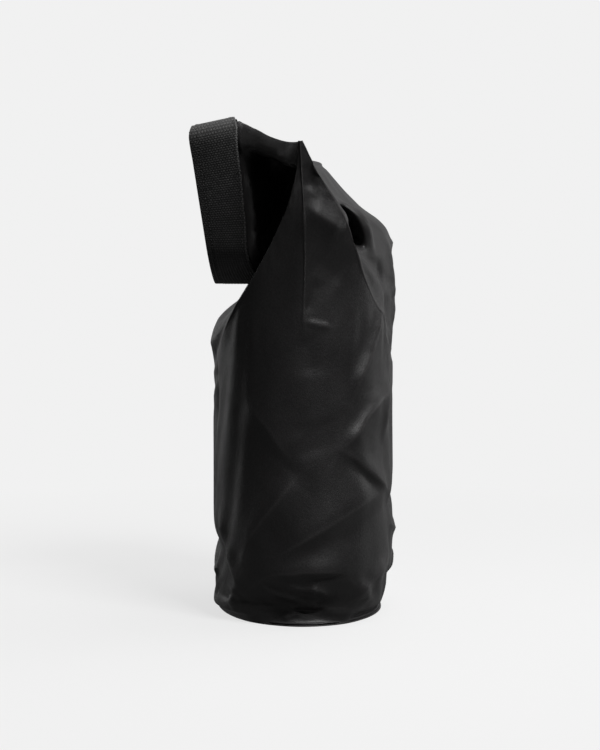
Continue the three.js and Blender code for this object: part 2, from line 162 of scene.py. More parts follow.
# Each lamp: place, what it points at, size and power. The camera sees none of them.
LAMPS = {
    "key_box": ((1.15, 0.85, 2.0), (0, 0, 0.25), (0.7, 0.7), 50),
    "backdrop_glow": ((-1.8, 0.15, 0.8), (0, 0, 0.3), (2.4, 1.5), 4.5),
    "rear_strip": ((-0.9, 1.9, 0.6), (0, 0, 0.25), (0.5, 1.2), 5.5),
    "front_strip": ((-1.5, -1.5, 0.6), (0, 0, 0.2), (0.5, 1.2), 4.5),
    "top_box": ((-0.2, 0.4, 1.9), (0, 0, 0.3), (0.9, 1.0), 16),
    "floor_bounce": ((0, 0, 0.001), (0, 0, 1), (1.6, 1.6), 0.8),
}
STUDIO_LEVEL = 0.035  # the even light from all round


def make_camera():
    data = bpy.data.cameras.new("camera")
    data.sensor_width = SENSOR
    data.lens = SENSOR * VIEW_DISTANCE / VIEW_HEIGHT
    data.clip_end = 30.0
    camera = add_object("camera", data)
    back = Vector((math.cos(VIEW_ELEVATION), 0.0, math.sin(VIEW_ELEVATION)))
    camera.location = VIEW_TARGET + back * VIEW_DISTANCE
    camera.rotation_euler = (-back).to_track_quat("-Z", "Y").to_euler()
    bpy.context.scene.camera = camera


def area_light(name, location, target, size, power):
    data = bpy.data.lights.new(name, "AREA")
    data.shape = "RECTANGLE"
    data.size, data.size_y = size
    data.energy = power
    light = add_object(name, data)
    light.location = location
    aim = Vector(target) - Vector(location)
    light.rotation_euler = aim.to_track_quat("-Z", "Y").to_euler()
    light.visible_camera = False


def make_lights():
    for name, lamp in LAMPS.items():
        area_light(name, *lamp)
    world = bpy.data.worlds.new("studio")
    world.use_nodes = True
    background = world.node_tree.nodes["Background"]
    background.inputs["Color"].default_value = (1, 1, 1, 1)
    background.inputs["Strength"].default_value = STUDIO_LEVEL
    bpy.context.scene.world = world
    bpy.context.scene.view_settings.view_transform = "Standard"


BACKDROP_GLOW = 0.879
SHADED_SHARE = 0.15  # how much of the floor's paleness near the bag comes from the lamps
LAMP_LEVEL = 1.12  # what the lamps give on the floor there
SHADED_REACH = (0.3, 0.9)  # metres from the middle; the lamps' share fades out
STAGE_STEPS = 96
STAGE_RINGS = [(0.0, 0.0), (1.2, 0.0), (2.6, 0.0), (3.3, 0.1), (3.8, 0.4), (4.1, 1.0), (4.2, 6.0)]


def make_stage():
    """A floor that curves up into a backdrop all round. Near the bag it takes soft shadows,
    and further out it glows evenly."""
    turns = np.linspace(0, 2 * math.pi, STAGE_STEPS, endpoint=False)
    points = [(r * math.cos(t), r * math.sin(t), z) for r, z in STAGE_RINGS for t in turns]
    faces = grid_faces(len(STAGE_RINGS), STAGE_STEPS, closed=True)
    mesh = bpy.data.meshes.new("stage_floor")
    mesh.from_pydata(points, [], faces)
    mesh.polygons.foreach_set("use_smooth", [True] * len(faces))
    floor = add_object("stage_floor", mesh)
    nodes = Nodes("pale_floor")
    distance = nodes.node("VectorMath", {0: nodes.place}, operation="LENGTH").outputs["Value"]
    near = nodes.spread(distance, 1.0, 0.0, *SHADED_REACH)
    shade = nodes.maths("MULTIPLY", near, SHADED_SHARE)
    glow = nodes.maths("SUBTRACT", BACKDROP_GLOW, nodes.maths("MULTIPLY", shade, LAMP_LEVEL))
    grey = nodes.node("CombineColor", {0: shade, 1: shade, 2: shade}).outputs[0]
    nodes.feed(nodes.shader.inputs["Base Color"], grey)
    nodes.feed(nodes.shader.inputs["Emission Strength"], glow)
    nodes.shader.inputs["Emission Color"].default_value = (1, 1, 1, 1)
    nodes.shader.inputs["Roughness"].default_value = 1.0
    nodes.shader.inputs["Specular IOR Level"].default_value = 0.0
    mesh.materials.append(nodes.material)
    floor.visible_diffuse = False
    floor.visible_glossy = False


make_camera()
make_stage()
make_lights()


# ---- Sizes, from the frame where it has them ----
FOOT_HEIGHT = 20.0  # the wall rounds in to the base below this height
FOOT_INSET = np.array([8.0, 10.0])
BASE_TAPE_INSET = 2.0
HALF_WIDTH, HALF_DEPTH = box_mm("base_seam_tape")[1][:2] + FOOT_INSET + BASE_TAPE_INSET
joints = {joint["name"]: joint for joint in frame["joints"]}
CREASE_Y, CREASE_Z = np.array(joints["collar_fold"]["pos_m"][1:]) / MM
EAR_X = box_mm("front_panel")[1][0] - 0.4  # a little inside the CAD panel's corner
EAR_Z = box_mm("front_panel")[1][2]
SHOULDER_Z = 262.0  # the wall stands straight up to here
EDGE_ANGLE = math.radians(68)  # where the folds start, round from the side
CLOTH = 0.6  # thickness of every cloth piece
BAND = 50.0  # width of the mouth webbing
WARP_PITCH = 3.1  # its ribs, side to side
WEFT_PITCH = 2.2  # its rows of yarn, end to end


# ---- Materials ----
THREAD_PITCH = (0.55, 0.6)  # the cloth's threads, in millimetres each way


def coated_cloth():
    """Satin black nylon with a thin coating: fine weave, cloudy sheen, and lighter lines on fold
    crests, seams and the gores' edges that are partly rubbed wear and partly a painted highlight.
    """
    dark = (0.0048, 0.0044, 0.0047)
    light = (0.016, 0.0149, 0.0153)
    worn_and_highlight_colour = (0.04, 0.038, 0.0385)
    nodes = Nodes("coated_cloth")
    clouds = nodes.noise(14.0, 4.0, 0.6)
    grain = nodes.noise(520.0, 3.0, 0.7)
    weave = nodes.node("SeparateXYZ", {0: nodes.cloth_millimetres()})
    threads = []
    for axis, pitch in enumerate(THREAD_PITCH):
        turn = nodes.maths("MULTIPLY", weave.outputs[axis], math.pi / pitch)
        threads.append(nodes.maths("SINE", turn))
    weave_height = nodes.maths("MULTIPLY", threads[0], threads[1])
    speckle = nodes.spread(grain, -0.35, 0.65)
    shade = nodes.maths("ADD", nodes.spread(clouds), speckle)
    # painted highlight: the layer read here lightens fold crests, seams and the gores' edges, partly
    # real rubbing and partly the light that catches them
    rubbed_and_highlighted = nodes.maths("MULTIPLY", nodes.wear(), nodes.spread(grain, 0.6, 1.0))
    plain = nodes.tint(nodes.maths("MULTIPLY", shade, 0.6, True), dark, light)
    worn_and_highlighted = nodes.node("Mix", {0: rubbed_and_highlighted}, data_type="RGBA")
    nodes.feed(worn_and_highlighted.inputs[MIX_A], plain)
    worn_and_highlighted.inputs[MIX_B].default_value = (*worn_and_highlight_colour, 1)
    roughness = nodes.spread(nodes.noise(30.0, 5.0, 0.6), 0.44, 0.56)
    soft = nodes.bump(nodes.noise(55.0, 4.0, 0.55), 0.0012, 0.35)
    fine = nodes.maths("ADD", nodes.maths("MULTIPLY", weave_height, 0.12), grain)
    normal = nodes.bump(fine, 0.00022, 0.9, soft)
    return nodes.finish(worn_and_highlighted.outputs[MIX_RESULT], roughness, normal, 0.5, 0.05, 0.5)


RIBBED_REACH = (34.0, 62.0)  # millimetres round the ring, over which the ribs turn to dashes


def mouth_webbing():
    """Polyester webbing: brick-like dashes of yarn, with lengthwise ribs at the ring's bottom."""
    nodes = Nodes("mouth_webbing")
    vector = nodes.cloth_millimetres()
    bricks = nodes.node(
        "TexBrick",
        {"Vector": vector, "Scale": 1.0, "Mortar Size": 0.7, "Mortar Smooth": 0.35,
         "Brick Width": WARP_PITCH, "Row Height": WEFT_PITCH},
    )
    dashes = nodes.maths("SUBTRACT", 1.0, bricks.outputs["Fac"])
    way = nodes.node("SeparateXYZ", {0: vector})
    ribs = nodes.maths("SINE", nodes.maths("MULTIPLY", way.outputs["X"], 2 * math.pi / WARP_PITCH))
    ribbed = nodes.spread(nodes.maths("ABSOLUTE", way.outputs["Y"]), 1.0, 0.0, *RIBBED_REACH)
    rib_share = nodes.node("Mix", {0: ribbed, 2: dashes, 3: nodes.spread(ribs, low=-0.4, high=0.8)})
    yarn = rib_share.outputs[0]
    fuzz = nodes.noise(900.0, 3.0, 0.7)
    patch = nodes.noise(160.0, 4.0, 0.7)
    lit = nodes.maths("MULTIPLY", yarn, nodes.spread(patch, 0.25, 1.0))
    # painted highlight: the webbing is lighter at the ring's top corners where the band bends over the
    # top, plus wear at its ends and on the tabs
    rubbed_and_highlighted = nodes.maths("MULTIPLY", nodes.wear(), 0.5)
    amount = nodes.maths("ADD", nodes.maths("MULTIPLY", lit, 0.75), rubbed_and_highlighted, True)
    colour = nodes.tint(amount, (0.0014, 0.0014, 0.0015), (0.078, 0.077, 0.076))
    roughness = nodes.spread(patch, 0.5, 0.75)
    rows = nodes.bump(yarn, 0.00035, 0.8)
    normal = nodes.bump(fuzz, 0.0001, 0.6, rows)
    return nodes.finish(colour, roughness, normal, 0.4, 0.12, 0.5)


def thread():
    """Twisted bonded thread."""
    nodes = Nodes("stitch_thread")
    twist = nodes.node("TexWave", {"Vector": nodes.place, "Scale": 900.0, "Distortion": 2.0})
    colour = nodes.tint(twist.outputs["Fac"], (0.005, 0.005, 0.0055), (0.02, 0.019, 0.019))
    roughness = nodes.spread(nodes.noise(700.0), 0.45, 0.65)
    return nodes.finish(colour, roughness, nodes.bump(twist.outputs["Fac"], 0.0001), 0.5)


def buckle_plastic():
    """Moulded acetal: fine spark-eroded grain, shinier where it has been handled."""
    nodes = Nodes("buckle_plastic")
    grain = nodes.noise(1800.0, 2.0, 0.6)
    scuffs = nodes.noise(120.0, 5.0, 0.7)
    handled = nodes.spread(scuffs, low=0.45, high=0.8)
    colour = nodes.tint(handled, (0.006, 0.006, 0.0065), (0.02, 0.02, 0.021))
    roughness = nodes.spread(scuffs, 0.28, 0.46, 0.3, 0.75)
    return nodes.finish(colour, roughness, nodes.bump(grain, 0.00004, 0.5), 0.5)


def seam_tape():
    """Smooth heat-welded tape, a little glossier than the cloth, with pressed-in ripples."""
    nodes = Nodes("seam_tape")
    ripple = nodes.noise(240.0, 3.0, 0.5)
    colour = nodes.tint(nodes.noise(30.0, 4.0), (0.022, 0.022, 0.023), (0.036, 0.035, 0.036))
    roughness = nodes.spread(ripple, 0.3, 0.45)
    return nodes.finish(colour, roughness, nodes.bump(ripple, 0.0003, 0.5), 0.5)


def stiffener_plastic():
    """Matt polyethylene strip with lengthwise drawing marks."""
    nodes = Nodes("stiffener_plastic")
    marks = nodes.noise(300.0, 3.0, 0.6)
    colour = nodes.tint(marks, (0.012, 0.012, 0.012), (0.03, 0.03, 0.03))
    return nodes.finish(colour, nodes.spread(marks, 0.45, 0.6), nodes.bump(marks, 0.0001), 0.5)


# What each slot looks like; the thread lies in the webbing's slot.
LOOKS = {
    "coated_cloth": coated_cloth(),
    "webbing": mouth_webbing(),
    "thread": thread(),
    "buckle_plastic": buckle_plastic(),
    "seam_tape": seam_tape(),
    "stiffener": stiffener_plastic(),
}


# ---- Curves and grids ----
def ease(x, low, high):
    t = np.clip((x - low) / (high - low), 0, 1)
    return t * t * (3 - 2 * t)


def mix(a, b, t):
    return a + (b - a) * t


def read_table(table, at, column=1):
    """A smooth curve through a column of a table of points."""
    table = np.array(table, float)
    x, y = table[:, 0], table[:, column]
    slope = np.gradient(y, x)
    i = np.clip(np.searchsorted(x, at, side="right") - 1, 0, len(x) - 2)
    step = x[i + 1] - x[i]
    t = np.clip((at - x[i]) / step, 0, 1)
    rise = y[i + 1] - y[i]
    bend = t * (1 - t)
    lean = (slope[i] * step - rise) * (1 - t) - (slope[i + 1] * step - rise) * t
    return y[i] + rise * t + bend * lean


def unit(v):
    return v / np.maximum(np.linalg.norm(v, axis=-1, keepdims=True), 1e-9)


def grid_normals(points, closed=False):
    """Unit normals of a grid of points: along its rows x up its columns."""
    if closed:
        along = np.roll(points, -1, axis=1) - np.roll(points, 1, axis=1)
    else:
        along = np.gradient(points, axis=1)
    return unit(np.cross(along, np.gradient(points, axis=0)))


def smooth_noise(shape, cells, seed):
    """Gentle hills between -1 and 1 over a grid, cells of them each way."""
    random = np.random.default_rng(seed)
    knots = random.uniform(-1, 1, (cells[0] + 2, cells[1] + 2))
    rows = np.linspace(0, cells[0] + 0.999, shape[0])
    columns = np.linspace(0, cells[1] + 0.999, shape[1])
    i, j = rows.astype(int), columns.astype(int)
    s = ease(rows - i, 0, 1)[:, None]
    t = ease(columns - j, 0, 1)[None, :]
    top = mix(knots[np.ix_(i, j)], knots[np.ix_(i, j + 1)], t)
    low = mix(knots[np.ix_(i + 1, j)], knots[np.ix_(i + 1, j + 1)], t)
    return mix(top, low, s)


def add_mesh(name, points, faces, slot, look=None, uv=None, wear=None):
    mesh = bpy.data.meshes.new(name)
    mesh.from_pydata((np.asarray(points).reshape(-1, 3) * MM).tolist(), [], faces)
    if uv is not None:
        layer = mesh.uv_layers.new(name="cloth")
        corners = np.zeros(len(mesh.loops), np.int32)
        mesh.loops.foreach_get("vertex_index", corners)
        layer.data.foreach_set("uv", (np.asarray(uv).reshape(-1, 2)[corners] * MM).ravel())
    if wear is not None:
        layer = mesh.attributes.new("wear", "FLOAT", "POINT")
        layer.data.foreach_set("value", np.asarray(wear, np.float32).ravel())
    mesh.polygons.foreach_set("use_smooth", [True] * len(mesh.polygons))
    mesh.materials.append(LOOKS[look or slot])
    piece = add_object(name, mesh)
    return piece


def apply_modifiers(piece):
    depsgraph = bpy.context.evaluated_depsgraph_get()
    mesh = bpy.data.meshes.new_from_object(piece.evaluated_get(depsgraph))
    piece.modifiers.clear()
    piece.data = mesh
    mesh.name = piece.name


def add_sheet(name, grid, thickness, slot, closed=False, **layers):
    """A grid of points as a sheet, its thickness inwards from the face that is drawn."""
    piece = add_mesh(name, grid, grid_faces(*grid.shape[:2], closed), slot, **layers)
    thicken(piece, thickness)
    return piece


def thicken(piece, thickness):
    skin = piece.modifiers.new("thickness", "SOLIDIFY")
    skin.thickness = thickness * MM
    skin.offset = -1.0
    apply_modifiers(piece)


def flat_lengths(points, row):
    """How far each column and each row lies along the flat cloth."""
    across = np.linalg.norm(np.diff(points[row], axis=0), axis=1)
    up = np.linalg.norm(np.diff(points[:, points.shape[1] // 4], axis=0), axis=1)
    return np.stack(np.meshgrid(np.r_[0, np.cumsum(across)], np.r_[0, np.cumsum(up)]), axis=-1)


# ---- Body: the plain shape, before its folds ----
EDGE_X = HALF_WIDTH * math.cos(EDGE_ANGLE)
EDGE_Y = HALF_DEPTH * math.sin(EDGE_ANGLE)
# The folds between the side gores and the faces, as [height, x, depth].
FRONT_EDGE = [(SHOULDER_Z, EDGE_X, -EDGE_Y), (282, 66, -78), (330, 104, -50), (374, 121, -27),
              (410, 133, -11), (432, 138, -5), (CREASE_Z, EAR_X, CREASE_Y - 1)]
REAR_EDGE = [(SHOULDER_Z, EDGE_X, EDGE_Y), (292, 66, 78), (318, 84, 66), (342, 99, 56), (371, 115, 47),
             (402, 127, 33), (418, 133, 20), (430, 137, 11), (CREASE_Z, EAR_X, CREASE_Y + 1.5)]
# The middle of each face, as [height, depth], and the side seam, as [height, x, depth].
FRONT_MIDDLE = [(SHOULDER_Z, -HALF_DEPTH), (284, -89), (300, -79), (310, -65), (318, -47), (326, -31),
                (345, -20), (380, -12.5), (420, -7), (CREASE_Z, CREASE_Y - 0.4)]
REAR_MIDDLE = [(SHOULDER_Z, HALF_DEPTH), (340, 90), (370, 87.5), (382, 84), (391, 75.5), (401, 60),
               (415, 44), (430, 30), (440, 20), (446, 11), (CREASE_Z, CREASE_Y + 0.4)]
SIDE = [(SHOULDER_Z, HALF_WIDTH, 0), (285, 120.5, 0.5), (408, 135, 0), (CREASE_Z, EAR_X, CREASE_Y)]
EAR_START = 403.0  # the side corners rise from this height on
EAR_SHARE = 0.14  # how much of each half face rises with them
ROUND_FADE = 110.0  # the oval has gone this far above the shoulder
TOP_STRIP = 8.0  # finer rows just under the crease

GORE_STEPS = 52
FACE_STEPS = 36
QUARTER = GORE_STEPS + FACE_STEPS
COLUMNS = 4 * QUARTER
RIGHT_SEAM = 2 * QUARTER  # the column of the right side seam


def ring_columns():
    """For each column round the bag: its part (0 side seam, 1 gore fold, 2 face middle), which
    side it is on in X, and which face it belongs to in Y. It starts at the left seam and goes
    round by the front."""
    quarter = np.r_[np.linspace(0, 1, GORE_STEPS + 1), 1 + np.linspace(0, 1, FACE_STEPS + 1)[1:]]
    up, down = quarter[:-1], quarter[:0:-1]
    parts = np.concatenate([up, down, up, down])
    step = np.arange(COLUMNS)
    hands = np.where((step >= QUARTER) & (step < 3 * QUARTER), 1, -1)
    facing = np.where(step < 2 * QUARTER, -1, 1)
    return parts, hands, facing


def wall_heights():
    """The height of each row of the plain wall, from the foot to the crease."""
    foot = FOOT_HEIGHT * (1 - np.cos(np.linspace(0, math.pi / 2, 16)))[:-1]
    straight = np.linspace(FOOT_HEIGHT, SHOULDER_Z, 106)[:-1]
    slope = np.linspace(SHOULDER_Z, CREASE_Z - TOP_STRIP, 84)[:-1]
    top = np.linspace(CREASE_Z - TOP_STRIP, CREASE_Z, 11)
    return np.concatenate([foot, straight, slope, top])


def face_wall(edge, middle, parts, hands, heights):
    """One face of the bag and the halves of the gores beside it."""
    h = np.maximum(heights, SHOULDER_Z)[:, None]
    side = [read_table(SIDE, h, column) for column in (1, 2)]
    fold = [read_table(edge, h, column) for column in (1, 2)]
    round_part = 1 - ease(h, SHOULDER_Z, SHOULDER_Z + ROUND_FADE)
    gore = np.minimum(parts, 1)[None, :]
    face = np.maximum(parts - 1, 0)[None, :]
    turn = gore * EDGE_ANGLE
    gore_x = mix(gore, (1 - np.cos(turn)) / (1 - math.cos(EDGE_ANGLE)), round_part)
    gore_y = mix(gore, np.sin(turn) / math.sin(EDGE_ANGLE), round_part)
    turn = mix(EDGE_ANGLE, math.pi / 2, face)
    face_x = mix(face, 1 - np.cos(turn) / math.cos(EDGE_ANGLE), round_part)
    depth = 1 - math.sin(EDGE_ANGLE)
    level = face + face**2 * (1 - face)  # runs out level at the middle of the face
    face_y = mix(level, (np.sin(turn) - math.sin(EDGE_ANGLE)) / depth, round_part)
    in_face = (parts > 1)[None, :]
    x = np.where(in_face, mix(fold[0], 0, face_x), mix(side[0], fold[0], gore_x))
    y = np.where(in_face, mix(fold[1], read_table(middle, h), face_y), mix(side[1], fold[1], gore_y))
    rise = np.clip((h - EAR_START) / (CREASE_Z - EAR_START), 0, 1)
    lift = (EAR_Z - CREASE_Z) * rise * (1 - ease(face, 0, EAR_SHARE))
    foot = np.clip(1 - heights / FOOT_HEIGHT, 0, 1)[:, None]
    inset = 1 - np.sqrt(1 - foot**2)
    x = x * (1 - FOOT_INSET[0] * inset / HALF_WIDTH) * hands[None, :]
    y = y * (1 - FOOT_INSET[1] * inset / HALF_DEPTH)
    return np.stack([x, y, heights[:, None] + lift], axis=-1)


def plain_wall():
    parts, hands, facing = ring_columns()
    heights = wall_heights()
    front = face_wall(FRONT_EDGE, FRONT_MIDDLE, parts, hands, heights)
    rear = face_wall(REAR_EDGE, REAR_MIDDLE, parts, hands, heights)
    return np.where((facing < 0)[None, :, None], front, rear)


# ---- Body: folds ----
# Each fold: the points of its line as (across, height), how far it spreads, and how far it
# stands out (+) or sinks in (-). Across is Y on the right and left sides and X on the front and
# rear. Two spreads are to the left and right of the line as drawn, seen from outside.
RIGHT_FOLDS = [
    # the small star where the seam's ridge ends, between two hollows
    ([(0, 296), (12, 294), (28, 290)], (1.8, 4), 1.3),
    ([(1, 300), (9, 318), (13, 338)], 6, -1.6),
    ([(-4, 284), (6, 262), (8, 240)], 15, -1.6),
    # the tuck near the top, with a light fold and a hollow below
    ([(6, 448), (8, 432), (4, 414)], (6, 8), -3.5),
    ([(0, 404), (18, 394), (40, 379)], (12, 18), 8.0),
    ([(6, 356), (20, 346), (38, 330)], 18, -2.4),
    # the ridge from the gore's fold to the middle, and the swell behind
    ([(80, 316), (68, 280), (56, 250), (44, 214)], (16, 7), 6.0),
    ([(84, 280), (80, 226), (76, 166)], 8, 4.0),
    # a soft ridge and hollow across the middle, and the long ridge under them
    ([(-56, 220), (-34, 196), (-8, 160)], (26, 14), 4.0),
    ([(2, 204), (6, 184), (10, 164)], 22, -1.4),
    ([(-2, 154), (-24, 122), (-46, 90), (-60, 60)], (14, 24), 6.5),
    # two ridges that meet as an arrow, and the dark pocket in it
    ([(36, 172), (50, 190), (62, 208), (84, 226)], (7, 18), 6.0),
    ([(36, 174), (52, 160), (68, 142), (86, 122)], (12, 5), 4.5),
    ([(42, 166), (56, 150), (68, 134)], 8, -3.0),
    # the diagonal ridge, its shade and the lit swell below
    ([(86, 132), (56, 120), (28, 104), (2, 88), (-26, 71)], (12, 30), 6.5),
    ([(70, 112), (40, 96), (12, 79), (-14, 64)], 15, -2.6),
    ([(76, 78), (46, 70), (16, 62), (-20, 56), (-48, 44)], (24, 14), 1.0),
    # the sagging lip and the crumpled hollow under it, over the foot
    ([(-60, 30), (-34, 50), (4, 56), (40, 52), (58, 34)], (16, 7), 4.6),
    ([(-58, 5), (-34, 9), (0, 11), (30, 9), (52, 4)], (27, 30), -18.0),
    ([(4, 47), (24, 50), (37, 52), (46, 46)], 2.6, -2.4),
    ([(-40, 42), (-22, 32), (-6, 28)], 3.6, 2.6),
    ([(-20, 46), (-6, 40), (14, 38), (30, 30)], 3.4, 2.8),
    ([(-8, 30), (8, 33), (24, 27)], 3.6, -2.2),
    ([(11, 42), (13, 32)], 3.4, 1.8),
    ([(-34, 16), (-12, 14), (8, 17)], 5, -1.2),
    ([(-28, 6), (-16, 9), (-7, 11)], 3, 1.2),
    ([(-72, 12), (-66, 20), (-60, 30)], 9, 3.0),
    # creases that cross near the front foot, and one at the rear foot
    ([(-84, 108), (-76, 80), (-64, 50), (-56, 30)], (10, 6), 4.0),
    ([(-48, 84), (-56, 56), (-66, 30), (-74, 12)], (5, 9), 3.6),
    ([(86, 66), (70, 44), (56, 28), (46, 16)], (12, 7), 5.0),
]
FRONT_FOLDS = [
    # sag under the ring, long folds from the shoulder, and slack creases low down
    ([(-60, 286), (-30, 272), (0, 268), (34, 273), (62, 288)], 9, 3.0),
    ([(-48, 262), (-44, 214), (-36, 168)], 7, 3.0),
    ([(30, 266), (38, 220), (34, 180)], 6, -2.6),
    ([(-16, 258), (-4, 226), (14, 198)], 8, -2.6),
    ([(-70, 120), (-30, 82), (14, 68), (66, 72)], 11, -6.5),
    ([(-46, 34), (-10, 26), (40, 30)], 12, -2.4),
    ([(-40, 50), (-22, 38), (4, 34), (26, 42)], 5, -3.6),
    ([(12, 64), (30, 52), (44, 36)], 3.2, 2.4),
    ([(-14, 22), (10, 16)], 4, -2.4),
]
REAR_FOLDS = [
    # the mouth of the pocket by the right gore
    ([(112, 371), (104, 373), (95, 379)], 5, -9.0),
    # the foot, drawn in from the right side to past the middle
    ([(118, 2), (60, 0), (-50, 2)], (28, 10), -15.0),
    # long folds and a slack belly
    ([(-96, 392), (-60, 372), (-18, 366), (30, 372)], 6, 3.4),
    ([(-70, 352), (-36, 340), (0, 342)], 9, -4.0),
    ([(44, 386), (24, 352), (16, 310), (22, 270)], 6, 3.4),
    ([(62, 360), (46, 322), (42, 280)], 7, -3.2),
    ([(-24, 318), (-32, 262), (-20, 204)], 8, -3.2),
    ([(-60, 300), (-54, 240), (-58, 196)], 5, 3.0),
    ([(-56, 152), (-16, 124), (30, 112), (70, 108)], 8, -3.0),
    ([(-44, 96), (0, 82), (42, 92)], 6, 3.4),
    ([(-34, 46), (-8, 34), (24, 38), (42, 50)], 5, -4.0),
    ([(-12, 60), (8, 50), (16, 38)], 3, 2.4),
]
LEFT_FOLDS = [
    # its own set, with a long hollow low down and a crumpled foot
    ([(-72, 300), (-50, 262), (-42, 226)], 6, 3.4),
    ([(-60, 312), (-38, 284), (-26, 256)], 8, -3.0),
    ([(64, 332), (40, 300), (26, 262)], 5, 3.0),
    ([(76, 300), (62, 250), (66, 206)], 6, -2.6),
    ([(-6, 392), (10, 372), (32, 360)], 7, 3.0),
    ([(-30, 352), (-8, 340), (14, 342)], 10, -3.0),
    ([(-70, 150), (-34, 118), (6, 104), (48, 114)], 12, -5.0),
    ([(-52, 74), (-12, 64), (34, 70), (62, 86)], 6, 3.8),
    ([(-44, 30), (-26, 42), (2, 44), (26, 36), (46, 24)], 4.5, -4.4),
    ([(-10, 34), (6, 24), (22, 22)], 3, 2.6),
    ([(60, 92), (66, 60), (58, 30)], 3, 2.6),
    ([(-74, 84), (-66, 50), (-70, 20)], 3, 2.4),
]
FOLDS = {"right": RIGHT_FOLDS, "front": FRONT_FOLDS, "rear": REAR_FOLDS, "left": LEFT_FOLDS}
# Which axis each side looks along, and which way.
SIDES = {"right": (0, 1), "left": (0, -1), "front": (1, -1), "rear": (1, 1)}
PATH_PASSES = 6  # how often a fold's line on the wall is smoothed
FOLD_REACH = 3.5  # a fold has died away at this many times its spread
CREST_WIDTH = 1.6  # of the lighter line along a ridge, partly rubbed wear and partly painted highlight


def trace(wall, side, line, spacing=2.5):
    """The points of the wall behind a line drawn on one side of the bag."""
    depth_axis, sign = SIDES[side]
    across_axis = 1 - depth_axis
    line = np.array(line, float)
    way = np.r_[0, np.cumsum(np.linalg.norm(np.diff(line, axis=0), axis=1))]
    at = np.linspace(0, way[-1], max(4, int(way[-1] / spacing)))
    drawn = np.stack([read_table(np.c_[way, line[:, k]], at) for k in (0, 1)], axis=-1)
    outward = sign * wall[:, depth_axis]
    seen = np.flatnonzero(outward > 0)
    gap = (wall[seen, across_axis][None] - drawn[:, :1]) ** 2
    gap += (wall[seen, 2][None] - drawn[:, 1:]) ** 2
    gap += 0.05 * (HALF_WIDTH - outward[seen])[None]
    path = wall[seen[gap.argmin(axis=1)]]
    for _ in range(PATH_PASSES):
        path[1:-1] = (path[:-2] + 2 * path[1:-1] + path[2:]) / 4
    return path


def fold_shape(points, outward, path, left, right):
    """Which points a fold on this path reaches and, for each, its share of the rise across the
    fold, its distance from the path and its share along the path."""
    reach = FOLD_REACH * max(left, right)
    near = ((points > path.min(axis=0) - reach) & (points < path.max(axis=0) + reach)).all(axis=1)
    near = np.flatnonzero(near)
    starts, steps = path[:-1], np.diff(path, axis=0)
    offset = points[near][:, None] - starts[None]
    length2 = np.maximum((steps**2).sum(axis=-1), 1e-6)
    t = np.clip((offset * steps[None]).sum(axis=-1) / length2[None], 0, 1)
    gap = np.linalg.norm(offset - t[..., None] * steps[None], axis=-1)
    best = gap.argmin(axis=1)
    each = np.arange(len(near))
    away = gap[each, best]
    along = (best + t[each, best]) / len(steps)
    turn = np.cross(steps[best], offset[each, best])
    lean = (turn * outward[near]).sum(axis=-1) / np.sqrt(length2[best])
    width = mix(right, left, ease(lean, -0.3 * right, 0.3 * left))
    taper = ease(along, 0, 0.3) * (1 - ease(along, 0.7, 1)) * 0.85 + 0.15
    return near, np.exp(-((away / width) ** 1.5)), away, taper


def fold_heights(wall, normals):
    """How far the folds move each point along its normal, and how much lighter each point is painted
    along the ridge crests: rubbed wear and painted highlight.
    """
    points = wall.reshape(-1, 3)
    outward = normals.reshape(-1, 3)
    height = np.zeros(len(points))
    rub_and_highlight = np.zeros(len(points))
    for side, folds in FOLDS.items():
        for line, spread, rise in folds:
            left, right = spread if isinstance(spread, tuple) else (spread, spread)
            path = trace(points, side, line)
            near, share, away, taper = fold_shape(points, outward, path, left, right)
            height[near] += rise * taper * share
            if rise > 0:
                # painted highlight along each ridge's crest, together with rubbed wear
                crest = np.exp(-((away / CREST_WIDTH) ** 2)) * taper
                rub_and_highlight[near] = np.maximum(rub_and_highlight[near], crest * min(1, rise / min(left, right)))
    return height.reshape(wall.shape[:2]), rub_and_highlight.reshape(wall.shape[:2])


# ---- Body: pocket, seams and the cloth simulation ----
# Each pocket: its side, its size against the right one's, and its lowest height.
POCKETS = ((1, 1.0, 362), (-1, 0.55, 340))
POCKET_TOP = 405
POCKET_PUSH = (-44.0, -8.0, -3.0)  # the first towards the bag's middle
ROLL_RISE = 8.0
SEAM_RISE = 0.8  # of the side seams
EDGE_RISE = 0.9  # of the gores' creased edges


def pocket_shift(wall, normals):
    """The slack corner of the rear face, pushed in behind the right gore's fold, and the roll
    of cloth beside it. A gentler copy lies behind the left gore."""
    parts, hands, facing = ring_columns()
    face = np.where(facing > 0, parts - 1, -1.0)[None, :]
    z = wall[..., 2]
    shift = np.zeros_like(wall)
    for hand, size, low in POCKETS:
        here = ((hands == hand)[None, :] & (face > 0)) * size
        dent = here * ease(face, 0, 0.05) * (1 - ease(face, 0.17, 0.26))
        dent = dent * ease(z, low, low + 14) * (1 - ease(z, POCKET_TOP - 4, POCKET_TOP))
        shift += dent[..., None] * np.array(POCKET_PUSH) * np.array([hand, 1, 1])
        roll = here * np.exp(-(((face - 0.33) / 0.08) ** 2))
        roll = roll * ease(z, low - 8, low + 22) * (1 - ease(z, 392, 414))
        shift += (ROLL_RISE * roll)[..., None] * normals
    return shift


def seam_heights(wall):
    """The raised side seams and the creased edges of the gores, with how much lighter each is painted:
    rubbed wear and painted highlight along the edges.
    """
    z = wall[..., 2]
    parts, _, _ = ring_columns()
    seam = (parts == 0)[None, :] * SEAM_RISE * ease(z, 284, 300)
    edge = (parts == 1)[None, :] * EDGE_RISE * ease(z, 268, 300)
    return seam + edge, np.maximum(ease(seam, 0.2, 0.8) * 0.5, edge * 0.8)


